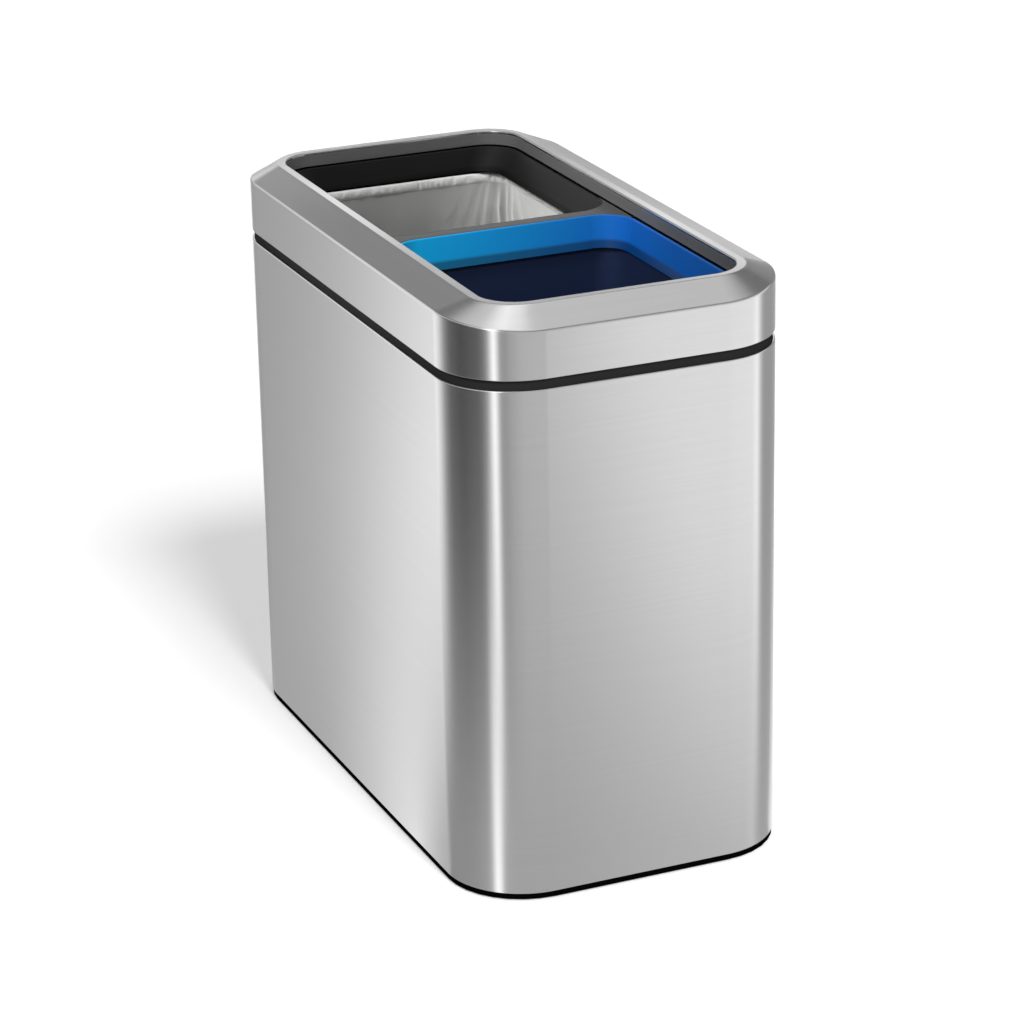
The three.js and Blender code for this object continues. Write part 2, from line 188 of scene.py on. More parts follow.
def build(name, shape, body, material, stands_for):
    """A smooth-shaded object of these points and faces, in the place of a CAD node."""
    points, faces = shape
    piece = new_object(name, points, faces, material)
    piece.data.polygons.foreach_set("use_smooth", [True] * len(faces))
    weighted = piece.modifiers.new("even_normals", "WEIGHTED_NORMAL")
    weighted.weight = 100
    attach(piece, body)
    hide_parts(stands_for)
    print(f"{name}: {len(points)} points, {len(faces)} faces")
    return piece


# %% [markdown]
# ## Sizes from the frame
# The outlines and levels are read off the CAD nodes' boxes, so that a fine surface lies
# exactly where its plain solid does. What a box can't tell, such as a sheet's thickness
# or a corner's radius, is a real size in millimetres.

# %% Outlines and levels
SHEET = 0.6 * MM
CORNER_RADIUS = 58 * MM
OPENING_RADIUS = 28 * MM
RING_RADIUS = 26.8 * MM


def node_outline(node, radius):
    """The loop outline and the two levels of a CAD node's box."""
    low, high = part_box(node)
    half_x, half_y = (high.x - low.x) / 2, (high.y - low.y) / 2
    return (half_x, half_y, radius, (high.y + low.y) / 2), low.z, high.z


body_outline, shell_bottom, shell_top = node_outline("body_shell", CORNER_RADIUS)
_, rim_bottom, rim_top = node_outline("rim_skin", CORNER_RADIUS)
_, liner_bottom, skirt_top = node_outline("rim_liner", CORNER_RADIUS)
_, collar_bottom, collar_top = node_outline("top_collar", CORNER_RADIUS)
recycling_outline, ring_bottom, ring_top = node_outline("recycling_ring", RING_RADIUS)
_, bucket_bottom, bucket_top = node_outline("recycling_bucket", RING_RADIUS)
landfill_outline = (*recycling_outline[:3], -recycling_outline[3])
RING_GAP = 1.2 * MM
opening_outline = (
    recycling_outline[0] + RING_GAP,
    recycling_outline[1] - recycling_outline[3] + RING_GAP,
    OPENING_RADIUS,
    0.0,
)
print("body", [round(v, 4) for v in body_outline], "levels", shell_bottom, shell_top)
print("opening", [round(v, 4) for v in opening_outline])

# %% [markdown]
# ## Grain shared by the finishes
# Two grains turn up all over the bin, so each is a node group that is built once. Brushed
# steel has fine lines that all run the same way, which a noise stretched along the line
# gives. Moulded plastic has a tight pebble from the mould's texture and a faint
# cloudiness. Each output is a change around zero, and the input of the same name is its
# strength, which every material sets for itself.

# %% Node helpers
def maths(tree, operation, first, second=0.0):
    made = tree.nodes.new("ShaderNodeMath")
    made.operation = operation
    for socket, value in zip(made.inputs, (first, second)):
        if isinstance(value, (int, float)):
            socket.default_value = value
        else:
            tree.links.new(value, socket)
    return made.outputs[0]


def plus(tree, first, second):
    return maths(tree, "ADD", first, second)


def minus(tree, first, second):
    return maths(tree, "SUBTRACT", first, second)


def times(tree, first, second):
    return maths(tree, "MULTIPLY", first, second)


def over(tree, first, second):
    return maths(tree, "DIVIDE", first, second)


def clamped(tree, value, low=0.0, high=1.0):
    return maths(tree, "MINIMUM", maths(tree, "MAXIMUM", value, low), high)


def place_xyz(tree):
    """The X, Y and Z of a place on the object, in metres."""
    coordinates = tree.nodes.new("ShaderNodeTexCoord")
    split = tree.nodes.new("ShaderNodeSeparateXYZ")
    tree.links.new(coordinates.outputs["Object"], split.inputs["Vector"])
    return [split.outputs[label] for label in "XYZ"]


def stretched_noise(tree, along, across, detail, rough):
    """Noise squeezed by these two scales, in waves a metre, so that it can run in lines."""
    coordinates = tree.nodes.new("ShaderNodeTexCoord")
    mapping = tree.nodes.new("ShaderNodeMapping")
    mapping.inputs["Scale"].default_value = (along, along, across)
    tree.links.new(coordinates.outputs["Object"], mapping.inputs["Vector"])
    made = tree.nodes.new("ShaderNodeTexNoise")
    made.inputs["Scale"].default_value = 1.0
    made.inputs["Detail"].default_value = detail
    made.inputs["Roughness"].default_value = rough
    tree.links.new(mapping.outputs["Vector"], made.inputs["Vector"])
    return made.outputs["Fac"]


# %% Grain groups
def grain_group(name, noises, outputs):
    """A group that puts out noises around zero, each times the input of its name."""
    group = bpy.data.node_groups.new(name, "ShaderNodeTree")
    for label in outputs:
        for way in ("INPUT", "OUTPUT"):
            group.interface.new_socket(label, in_out=way, socket_type="NodeSocketFloat")
    given, result = group.nodes.new("NodeGroupInput"), group.nodes.new("NodeGroupOutput")
    grains = {key: stretched_noise(group, *settings) for key, settings in noises.items()}
    for label, key in outputs.items():
        change = times(group, minus(group, grains[key], 0.5), given.outputs[label])
        group.links.new(change, result.inputs[label])
    return group


brushed_grain = grain_group(
    "brushed_grain",
    {"fine": (18, 2600, 3.0, 0.6), "broad": (5, 420, 3.0, 0.55)},
    {"Lines": "fine", "Dullness": "fine", "Streaks": "broad"})
moulded_grain = grain_group(
    "moulded_grain",
    {"pebble": (2200, 2200, 2.0, 0.5), "cloud": (14, 14, 4.0, 0.6)},
    {"Height": "pebble", "Mottle": "cloud", "Dullness": "cloud"})
print("groups:", brushed_grain.name, moulded_grain.name)


# %% [markdown]
# ## Finishes
# Each finish starts from one Principled shader. Numbers that are the same all over stand
# on its own sockets, and only what changes over the surface comes through a group: the
# tint of a streak, the roughness between lines, and the height that a Bump node turns
# into a normal. Brushed steel also stretches its reflections across the grain, which the
# anisotropy does when the tangent is turned by a quarter.

# %% Finish helpers
def new_finish(name, colour, roughness, metallic=0.0):
    material = bpy.data.materials.new(name)
    material.use_nodes = True
    tree = material.node_tree
    shader = tree.nodes["Principled BSDF"]
    shader.inputs["Base Color"].default_value = (*colour, 1)
    shader.inputs["Roughness"].default_value = roughness
    shader.inputs["Metallic"].default_value = metallic
    return material, tree, shader


def place_group(tree, group, **strengths):
    """Places a group with the material's own strengths; returns its outputs."""
    made = tree.nodes.new("ShaderNodeGroup")
    made.node_tree = group
    for label, strength in strengths.items():
        made.inputs[label].default_value = strength
    return made.outputs


def scaled_colour(tree, shader, factor):
    """Base colour times a factor; returns the socket that takes the colour."""
    scaled = tree.nodes.new("ShaderNodeVectorMath")
    scaled.operation = "SCALE"
    tree.links.new(factor, scaled.inputs["Scale"])
    tree.links.new(scaled.outputs[0], shader.inputs["Base Color"])
    return scaled.inputs[0]


def tinted(tree, shader, colour, change):
    """Base colour that lightens and darkens with a change around zero."""
    scaled_colour(tree, shader, plus(tree, change, 1.0)).default_value = colour


def roughened(tree, shader, roughness, change):
    tree.links.new(plus(tree, change, roughness), shader.inputs["Roughness"])


def bumped(tree, shader, height, distance):
    bump = tree.nodes.new("ShaderNodeBump")
    bump.inputs["Strength"].default_value = 1.0
    bump.inputs["Distance"].default_value = distance
    tree.links.new(height, bump.inputs["Height"])
    tree.links.new(bump.outputs["Normal"], shader.inputs["Normal"])


# %% Brushed steel
STEEL_COLOUR = (0.60, 0.60, 0.60)
STEEL_ROUGHNESS = 0.21
STEEL_STRETCH = 0.90
LINE_DEPTH = 0.004 * MM


def make_steel():
    material, tree, shader = new_finish("brushed_steel", STEEL_COLOUR, STEEL_ROUGHNESS, 1.0)
    grain = place_group(tree, brushed_grain, Lines=1.0, Dullness=0.10, Streaks=0.05)
    tinted(tree, shader, STEEL_COLOUR, grain["Streaks"])
    roughened(tree, shader, STEEL_ROUGHNESS, grain["Dullness"])
    bumped(tree, shader, grain["Lines"], LINE_DEPTH)
    shader.inputs["Anisotropic"].default_value = STEEL_STRETCH
    shader.inputs["Anisotropic Rotation"].default_value = 0.25
    tangent = tree.nodes.new("ShaderNodeTangent")
    tangent.direction_type = "RADIAL"
    tangent.axis = "Z"
    tree.links.new(tangent.outputs["Tangent"], shader.inputs["Tangent"])
    return material


brushed_steel = make_steel()


# %% Moulded plastics
PEBBLE = 0.01 * MM


def make_plastic(name, colour, roughness, pebble=PEBBLE, gloss=0.5):
    material, tree, shader = new_finish(name, colour, roughness)
    grain = place_group(tree, moulded_grain, Height=1.0, Mottle=0.10, Dullness=0.12)
    tinted(tree, shader, colour, grain["Mottle"])
    roughened(tree, shader, roughness, grain["Dullness"])
    bumped(tree, shader, grain["Height"], pebble)
    shader.inputs["Specular IOR Level"].default_value = gloss
    return material


base_plastic = make_plastic("base_plastic", (0.002, 0.002, 0.002), 0.60, gloss=0.0)
collar_plastic = make_plastic("collar_plastic", (0.028, 0.028, 0.028), 0.55, gloss=0.0)
liner_plastic = make_plastic("liner_plastic", (0.110, 0.110, 0.109), 0.46, gloss=0.35)
deck_plastic = make_plastic("deck_plastic", (0.040, 0.040, 0.039), 0.45)
grey_plastic = make_plastic("grey_plastic", (0.060, 0.060, 0.062), 0.50)
# The recycling bucket's navy is partly its own dark blue and partly painted shade for the depth
# under the funnel.
navy_plastic = make_plastic("navy_plastic", (0.008, 0.014, 0.040), 0.48)
foot_rubber = make_plastic("foot_rubber", (0.012, 0.012, 0.012), 0.80, pebble=3 * PEBBLE)


# %% [markdown]
# The two rings carry painted light and shade in their colour. Under each funnel the steeper
# lip is darkened as painted shade. Across the bin the colour changes as painted light: the
# blue one runs from a lit cyan blue at the left to a shaded royal blue at the right, and the
# dark one is a little lighter at its right.

# %% Ring plastics, with painted light and painted shade
LIP_SHADE_FADE = 2.5 * MM


def make_ring_plastic_painted_light(name, left, right, roughness, lip_level, lip_painted_shade, gloss):
    """Plastic with painted light from one colour to another across the bin, and painted shade
    under a level.
    """
    material, tree, shader = new_finish(name, left, roughness)
    x, _, z = place_xyz(tree)
    # Painted light: the colour goes from the left one to the right one across the bin.
    blend = tree.nodes.new("ShaderNodeMix")
    blend.data_type = "RGBA"
    width = 2 * recycling_outline[0]
    across = plus(tree, over(tree, x, width), 0.5)
    tree.links.new(across, blend.inputs["Factor"])
    blend.inputs["A"].default_value = (*left, 1)
    blend.inputs["B"].default_value = (*right, 1)
    # Painted shade: the colour darkens below the lip level, on the lip under the funnel.
    above = clamped(tree, over(tree, minus(tree, z, lip_level), LIP_SHADE_FADE))
    grain = place_group(tree, moulded_grain, Height=1.0, Mottle=0.08)
    cloud = plus(tree, grain["Mottle"], 1.0)
    shade = plus(tree, times(tree, above, 1 - lip_painted_shade), lip_painted_shade)
    colour = scaled_colour(tree, shader, times(tree, shade, cloud))
    tree.links.new(blend.outputs["Result"], colour)
    bumped(tree, shader, grain["Height"], PEBBLE)
    shader.inputs["Specular IOR Level"].default_value = gloss
    return material


# The dark ring's colour is painted shade: far darker than the deck of the same moulding, a
# little lighter at the right as painted light, and darker still on its lip as painted shade.
charcoal_plastic = make_ring_plastic_painted_light(
    "charcoal_plastic", (0.005, 0.005, 0.005), (0.009, 0.009, 0.009), 0.45,
    ring_top - 16 * MM, 0.1, 0.2)
# The blue ring's cyan left is painted light, and its royal right and its darker lip are painted
# shade.
blue_plastic = make_ring_plastic_painted_light(
    "blue_plastic", (0.002, 0.25, 0.47), (0.004, 0.075, 0.33), 0.40,
    ring_top - 18.5 * MM, 0.28, 0.25)


# %% [markdown]
# The screws are zinc-plated and slightly cloudy. The bag is so thin that the dark bucket
# shows through it, which its alpha does: it hides more where the film is seen at a slant,
# and most in the top band, where it is doubled.

# %% Zinc-plated screws and white film
ZINC_COLOUR = (0.45, 0.45, 0.44)
ZINC_ROUGHNESS = 0.35


def make_zinc():
    material, tree, shader = new_finish("zinc_plate", ZINC_COLOUR, ZINC_ROUGHNESS, 1.0)
    grain = place_group(tree, moulded_grain, Mottle=0.3, Dullness=0.2)
    tinted(tree, shader, ZINC_COLOUR, grain["Mottle"])
    roughened(tree, shader, ZINC_ROUGHNESS, grain["Dullness"])
    return material


FILM_COLOUR = (0.80, 0.80, 0.79)
FILM_HIDES = 0.38
FILM_AT_SLANT = 0.65
BAND_HEIGHT = 7.5 * MM
BAND_RISE = 3 * MM
BAND_FADE = 1.5 * MM
BAND_DOUBLING = 0.36


def make_film():
    material, tree, shader = new_finish("white_film", FILM_COLOUR, 0.32)
    cloud = stretched_noise(tree, 45, 45, 4.0, 0.55)
    fine = stretched_noise(tree, 260, 90, 3.0, 0.5)
    tinted(tree, shader, FILM_COLOUR, times(tree, minus(tree, cloud, 0.5), 0.12))
    bumped(tree, shader, plus(tree, cloud, times(tree, fine, 0.4)), 0.5 * MM)
    slant = tree.nodes.new("ShaderNodeLayerWeight")
    slant.inputs["Blend"].default_value = 0.5
    hidden = times(tree, slant.outputs["Facing"], FILM_AT_SLANT)
    hidden = plus(tree, hidden, FILM_HIDES)
    in_band = minus(tree, place_xyz(tree)[2], bucket_top + BAND_RISE - BAND_HEIGHT)
    doubled = clamped(tree, over(tree, in_band, BAND_FADE), 0.0, BAND_DOUBLING)
    hidden = plus(tree, hidden, doubled)
    tree.links.new(maths(tree, "MINIMUM", hidden, 1.0), shader.inputs["Alpha"])
    return material


zinc_plate = make_zinc()
white_film = make_film()
print("finishes:", len(bpy.data.materials))

# %% [markdown]
# ## The steel body
# The body is one sheet wrapped into a rounded box. It has a short lip turned in at the
# top, where a bright line shows, and a wide flange turned in below for the base's
# screws. A loft of its real section, with rolled bends, gives those lines by itself.

# %% Body shell
SHELL_LIP = 1.6 * MM
SHELL_FLANGE = 12 * MM
BEND = 1.1 * MM


def shell_section():
    inside = inset(body_outline, SHEET)
    lip = inset(body_outline, SHELL_LIP)
    flange = inset(body_outline, SHELL_FLANGE)
    corners = [
        (at(body_outline, shell_bottom), BEND),
        (at(body_outline, shell_top), BEND),
        (at(lip, shell_top), 0.1 * MM),
        (at(lip, shell_top - SHEET), 0.1 * MM),
        (at(inside, shell_top - SHEET), 0.5 * MM),
        (at(inside, shell_bottom + SHEET), 0.5 * MM),
        (at(flange, shell_bottom + SHEET), 0.1 * MM),
        (at(flange, shell_bottom), 0.1 * MM),
    ]
    return soften(corners, BEND, steps=5)


build("steel_body", loft(shell_section()), "bin_body", brushed_steel, "body_shell")

# %% [markdown]
# ## Base, feet and screws
# The base shows as a thin black line at the floor. These nodes already have the right
# shape, so they stay and get a small bevel and their own finish.

# %% Dress the CAD nodes that stay
EDGE_BEVEL = 0.25 * MM


def dress(node_name, material, bevel=EDGE_BEVEL):
    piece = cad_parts[node_name]
    piece.data.materials.clear()
    piece.data.materials.append(material)
    edge = piece.modifiers.new("edge_bevel", "BEVEL")
    edge.width = bevel
    edge.segments = 2
    edge.limit_method = "ANGLE"
    edge.angle_limit = math.radians(35)


dress("base_tray", base_plastic)
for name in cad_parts:
    if name.startswith("foot_"):
        dress(name, foot_rubber)
    if name.startswith("base_screw_"):
        dress(name, zinc_plate, 0.1 * MM)
print("dressed the base, its feet and its screws")

# %% [markdown]
# ## The collar
# Between the body and the rim there is a dark band, 7 mm high and set back under both
# edges. It is the neck of a plastic collar that also carries the rim on an inner ledge.

# %% Collar
COLLAR_INSET = 1.9 * MM
COLLAR_WALL = 2 * MM
COLLAR_LEDGE = 11 * MM
COLLAR_TUCK = 13 * MM
FIT_GAP = 0.3 * MM


def collar_section():
    neck = inset(body_outline, COLLAR_INSET)
    neck_inside = inset(neck, COLLAR_WALL)
    ledge = inset(neck_inside, COLLAR_LEDGE)
    tuck = inset(body_outline, SHEET + FIT_GAP)
    tuck_inside = inset(tuck, COLLAR_WALL)
    shoulder = collar_bottom + COLLAR_TUCK
    ledge_top = collar_top - 4 * MM
    return soften([
        at(tuck, collar_bottom),
        at(tuck, shoulder),
        at(neck, shoulder),
        at(neck, collar_top),
        at(neck_inside, collar_top),
        at(neck_inside, ledge_top),
        at(ledge, ledge_top),
        at(ledge, ledge_top - COLLAR_WALL),
        at(neck_inside, ledge_top - COLLAR_WALL),
        at(neck_inside, shoulder),
        at(tuck_inside, collar_bottom),
    ], 0.3 * MM)


build("collar", loft(collar_section()), "bin_body", collar_plastic,
      "top_collar")

# %% [markdown]
# ## The rim
# The rim is pressed from one sheet: an upright band, a bevel that is steeper at the ends
# than along the sides, and a flat hem that turns down into the opening. The hem catches
# the light as a bright line, so its two edges are rolled with care.

# %% Rim skin
SIDE_BAND = 39.6 * MM
END_BAND = 34 * MM
HEM_WIDTH = 7.5 * MM
HEM_DROP = 2 * MM
HEM_STEP = 0.4 * MM
BEVEL_BEND = 1.6 * MM
RIM_LIP = 1.6 * MM


def rim_section():
    hem_outer = inset(opening_outline, -HEM_WIDTH)
    hem_inner = opening_outline
    inside = inset(body_outline, SHEET)
    lip = inset(body_outline, RIM_LIP)
    side, end = rim_bottom + SIDE_BAND, rim_bottom + END_BAND
    corners = [
        (at(body_outline, rim_bottom), 0.9 * MM),
        (at(body_outline, side, end), BEVEL_BEND),
        (at(hem_outer, rim_top - HEM_STEP), 0.8 * MM),
        (at(inset(hem_outer, 0.8 * MM), rim_top), 0.8 * MM),
        (at(hem_inner, rim_top), 1.2 * MM),
        (at(hem_inner, rim_top - HEM_DROP), 0.1 * MM),
        (at(inset(hem_inner, -SHEET), rim_top - HEM_DROP), 0.1 * MM),
        (at(inset(hem_inner, -SHEET), rim_top - SHEET), 0.6 * MM),
        (at(inset(hem_outer, SHEET), rim_top - HEM_STEP - SHEET), 0.5 * MM),
        (at(inside, side - SHEET, end - SHEET), 1.0 * MM),
        (at(inside, rim_bottom + SHEET), 0.4 * MM),
        (at(lip, rim_bottom + SHEET), 0.1 * MM),
        (at(lip, rim_bottom), 0.1 * MM),
    ]
    return soften(corners, BEVEL_BEND, steps=5)


build("steel_rim", loft(rim_section()), "rim", brushed_steel, "rim_skin")

# %% [markdown]
# ## The rim's liner
# Under the steel a dark plastic frame carries the rim. Only its inner skirt is seen, a
# satin band round the opening that picks up a soft highlight in its far corner.

# %% Rim liner
LINER_WALL = 1.8 * MM
LINER_LEG = 9 * MM
LINER_WEB = 2 * MM
SKIRT_DEPTH = 11.1 * MM


def liner_section():
    skirt_outer = inset(opening_outline, -LINER_WALL)
    leg_outer = inset(body_outline, LINER_LEG)
    leg_inner = inset(leg_outer, LINER_WALL)
    skirt_bottom = rim_top - SKIRT_DEPTH
    web_bottom = skirt_bottom + FIT_GAP
    leg_top = rim_bottom + END_BAND - SHEET - FIT_GAP
    return soften([
        at(leg_outer, liner_bottom),
        at(leg_outer, leg_top),
        at(skirt_outer, web_bottom + LINER_WEB),
        at(skirt_outer, skirt_top),
        at(opening_outline, skirt_top),
        at(opening_outline, skirt_bottom),
        at(skirt_outer, skirt_bottom),
        at(skirt_outer, web_bottom),
        at(leg_inner, leg_top - LINER_WEB),
        at(leg_inner, liner_bottom),
    ], 0.35 * MM)


build("inner_skirt", loft(liner_section()), "rim", liner_plastic, "rim_liner")

# %% [markdown]
# ## The funnel rings
# Each ring is an upside-down V. Its outer skirt hangs round the bucket's rim, and its
# inner side slopes in as a funnel and ends in a steeper lip. The blue ring has one section
# all round. The dark ring's hole is narrower, so its side walls lean in further than its
# end walls. One function makes both, with a wall for the sides and one for the ends.

# %% Ring section
RING_WALL = 1.4 * MM
RING_LAND = 1.8 * MM
FUNNEL_INSET = 5 * MM
FUNNEL_DEPTH = 17.2 * MM
LIP_INSET = 8 * MM
LIP_DEPTH = 6 * MM
LIP_WALL = 1.7 * MM


def funnel_wall(funnel_inset, funnel_depth, lip_inset, lip_depth):
    """Insets, levels and rolls of one wall of a ring, from its outside foot."""
    funnel_bottom = ring_top - funnel_depth
    lip_bottom = funnel_bottom - lip_depth
    slope = (funnel_inset - RING_LAND) / funnel_depth
    apex = ring_top - max(2.2 * MM, (LIP_WALL + RING_WALL - RING_LAND) / slope)
    return [
        (0.0, ring_bottom, 0.3 * MM),
        (0.0, ring_top, 0.7 * MM),
        (RING_LAND, ring_top, 0.9 * MM),
        (funnel_inset, funnel_bottom, 1.4 * MM),
        (lip_inset, lip_bottom, 0.5 * MM),
        (lip_inset - LIP_WALL, lip_bottom, 0.2 * MM),
        (funnel_inset - LIP_WALL, funnel_bottom - 0.5 * MM, 1.0 * MM),
        (RING_WALL, apex, 0.2 * MM),
        (RING_WALL, ring_bottom, 0.2 * MM),
    ]


def ring_section(outline, side_wall, end_wall):
    corners = []
    for (side, side_level, roll), (end, end_level, _) in zip(side_wall, end_wall):
        hole = inset(outline, side, end, outline[2] - end)
        corners.append((at(hole, side_level, end_level), roll))
    return soften(corners, 0.5 * MM, steps=4)


blue_wall = funnel_wall(FUNNEL_INSET, FUNNEL_DEPTH, LIP_INSET, LIP_DEPTH)
build("blue_ring", loft(ring_section(recycling_outline, blue_wall, blue_wall)),
      "recycling_funnel", blue_plastic, "recycling_ring")

# %% [markdown]
# ## The landfill ring and its deck
# The dark ring carries the flat deck that fills the space between the two openings. The
# deck follows both rings' round corners. It is a ribbon between those two curves, and it
# runs a millimetre into the ring's land, so that the two read as one moulding.

# %% Deck ribbon
DECK_THICKNESS = 1.6 * MM
DECK_GAP = 0.5 * MM
DECK_TIP = 1 * MM
DECK_OVERLAP = 1.0 * MM
DECK_STEPS = 120


def corner_run(half_x, radius, base_y, direction, reach):
    """A curve across the bin: up or down a corner, straight, and back, by share 0 to 1."""
    def place(share):
        near_end = min(share, 1 - share)
        angle = math.pi / 2 * (1 - reach + min(1.0, near_end * 3) * reach)
        across = half_x - radius + radius * math.cos(angle)
        if near_end * 3 >= 1:
            across = (half_x - radius) * (3 - near_end * 6)
        sign = 1 if share < 0.5 else -1
        return Vector((sign * across, base_y + direction * radius * (1 - math.sin(angle)), 0))
    return place


def deck_ribbon():
    half_x, radius = recycling_outline[0], recycling_outline[2]
    recycling_back = recycling_outline[3] + recycling_outline[1]
    notch_radius = radius + DECK_GAP
    kept = notch_radius - DECK_TIP - DECK_GAP
    reach = 1 - math.acos(kept / notch_radius) / (math.pi / 2)
    front = corner_run(half_x + DECK_GAP, notch_radius, recycling_back + DECK_GAP, -1, reach)
    inner = radius - DECK_OVERLAP
    back = corner_run(half_x - DECK_OVERLAP, inner, -recycling_back + DECK_OVERLAP, 1, 1.0)
    low, edge = ring_top - DECK_THICKNESS, 0.5 * MM
    points, faces = [], []
    for step in range(DECK_STEPS + 1):
        share = step / DECK_STEPS
        far, near = back(share), front(share)
        if step in (0, DECK_STEPS):
            far.x = near.x = math.copysign(half_x, near.x)
        away = (far - near).normalized()
        outline = [
            (far, ring_top), (near + away * edge, ring_top),
            (near + away * edge * 0.3, ring_top - edge * 0.3), (near, ring_top - edge),
            (near, low), (far, low),
        ]
        points += [Vector((p.x, p.y, z)) for p, z in outline]
    size = len(outline)
    for step in range(DECK_STEPS):
        for k in range(size):
            a, b = step * size + k, step * size + (k + 1) % size
            faces.append((a, b, b + size, a + size))
    faces.append(tuple(range(size)))
    faces.append(tuple(DECK_STEPS * size + k for k in reversed(range(size))))
    return points, faces


DARK_FUNNEL_DEPTH = 14.5 * MM
DARK_LIP_DEPTH = 3.4 * MM
DARK_SIDE_INSET, DARK_SIDE_LIP = 10 * MM, 14.5 * MM
DARK_END_INSET, DARK_END_LIP = 4 * MM, 5.5 * MM
dark_sides = funnel_wall(DARK_SIDE_INSET, DARK_FUNNEL_DEPTH, DARK_SIDE_LIP, DARK_LIP_DEPTH)
dark_ends = funnel_wall(DARK_END_INSET, DARK_FUNNEL_DEPTH, DARK_END_LIP, DARK_LIP_DEPTH)
# The dark ring carries painted shade in its colour, so it is darker than the deck it is moulded
# with.
build("dark_ring", loft(ring_section(landfill_outline, dark_sides, dark_ends)),
      "landfill_funnel", charcoal_plastic, "landfill_ring")
build("deck", deck_ribbon(), "landfill_funnel", deck_plastic,
      "landfill_ring")

# %% [markdown]
# ## The buckets
# Two equal buckets taper towards the floor. A flange under the rim carries the ring and
# gives the fingers a grip. Their walls show only as dark depth under the funnels, so the
# finish matters more than the outline. The recycling bucket's navy is partly its own dark
# blue and partly painted shade for that depth.

# %% Buckets
BUCKET_WALL = 2 * MM
BUCKET_DRAFT = 9 * MM
BUCKET_FLANGE = 2.5 * MM
RIM_OUTSET = 2.4 * MM


def bucket_section(outline):
    flange_top = ring_bottom - FIT_GAP
    outer_top = FUNNEL_INSET - BUCKET_WALL
    corners = [
        (at(inset(outline, outer_top + BUCKET_DRAFT), bucket_bottom), 2.5 * MM),
        (at(inset(outline, outer_top), flange_top - BUCKET_FLANGE), 0.6 * MM),
        (at(outline, flange_top - BUCKET_FLANGE), 0.5 * MM),
        (at(outline, flange_top), 0.5 * MM),
        (at(inset(outline, RIM_OUTSET), flange_top), 0.3 * MM),
        (at(inset(outline, RIM_OUTSET), bucket_top), 0.7 * MM),
        (at(inset(outline, FUNNEL_INSET), bucket_top), 0.7 * MM),
        (at(inset(outline, FUNNEL_INSET), flange_top), 0.5 * MM),
        (at(inset(outline, FUNNEL_INSET + BUCKET_DRAFT), bucket_bottom + BUCKET_WALL), 3 * MM),
    ]
    ends = [at(inset(outline, 40 * MM), level)
            for level in (bucket_bottom, bucket_bottom + BUCKET_WALL)]
    return soften([(ends[0], 0.0), *corners, (ends[1], 0.0)], 0.5 * MM, 4, closed=False)


build("dark_bucket", loft(bucket_section(landfill_outline), cup=True), "landfill_unit",
      grey_plastic, "landfill_bucket")
build("navy_bucket", loft(bucket_section(recycling_outline), cup=True), "recycling_unit",
      navy_plastic, "recycling_bucket")

# %% [markdown]
# ## The bag
# The bag is a thin white film. It is folded over the bucket's rim under the dark ring. Its
# top edge shows as a puffy band with small pleats, which stands up a little over the
# bucket's rim, in the hollow of the ring. Below the band the film hangs in soft folds
# that fan out from the corners, where a flat bag has too much film. A cloth
# simulation could find such folds, but their places would change with every small edit.
# So the film is one sheet of points, and each kind of fold is a push that is written down.

# %% An even loop for the film
FILM_POINTS = 640


def even_walk(outline, level):
    """Points at equal distances round an outline, each with its way out and its distance."""
    half_x, half_y, radius, centre_y = outline
    straight_x, straight_y = 2 * (half_x - radius), 2 * (half_y - radius)
    bend = radius * math.pi / 2
    total = 2 * (straight_x + straight_y + 2 * bend)
    steps = []
    for corner, (sx, sy) in enumerate(((1, 1), (-1, 1), (-1, -1), (1, -1))):
        steps.append(("bend", bend, sx, sy, corner))
        steps.append(("run", straight_x if corner % 2 == 0 else straight_y, sx, sy, corner))
    loop_points = []
    for i in range(FILM_POINTS):
        along = total * i / FILM_POINTS
        for kind, length, sx, sy, corner in steps:
            if along <= length:
                break
            along -= length
        angle = (corner + (min(along / bend, 1.0) if kind == "bend" else 1.0)) * math.pi / 2
        out = Vector((math.cos(angle), math.sin(angle), 0))
        place = Vector((sx * (half_x - radius), sy * (half_y - radius) + centre_y, level))
        place += out * radius
        if kind == "run":
            place += Vector((-out.y, out.x, 0)) * along
        loop_points.append((place, out, total * i / FILM_POINTS, total))
    return loop_points


# %% [markdown]
# A fold is a soft ridge in the film. It starts at a place on the rim, leans to one side
# as it goes down, and widens. The list below is drawn from a seeded generator, so the bag
# looks the same in every run.

# %% Folds
dice = random.Random(11)
FILM_LOOP = 0.740
CORNER_FAN = [(-30, -0.75, 1.8), (-20, -0.55, 2.4), (-12, -0.36, 2.8), (-5, -0.15, 3.0),
              (1, 0.10, 3.2), (7, 0.32, 2.2), (13, 0.50, 0.8), (21, 0.62, 0.4)]


def corner_folds():
    """Ridges as (start on the rim, lean, height, width at the rim, widening)."""
    folds = []
    for place in (0.021, 0.192, 0.391, 0.562):
        for offset, lean, ridge in CORNER_FAN:
            start = (place + (offset + dice.uniform(-1, 1)) * MM) % FILM_LOOP
            folds.append((start, lean + dice.uniform(-0.05, 0.05), ridge * MM,
                          dice.uniform(1.3, 2.2) * MM, dice.uniform(0.04, 0.08)))
    for _ in range(16):
        folds.append((dice.uniform(0, FILM_LOOP), dice.uniform(-0.4, 0.4),
                      dice.uniform(0.5, 1.4) * MM, dice.uniform(4, 9) * MM,
                      dice.uniform(0.06, 0.16)))
    return folds


folds = corner_folds()
print("folds in the film:", len(folds))


# %% How far the film stands off the wall

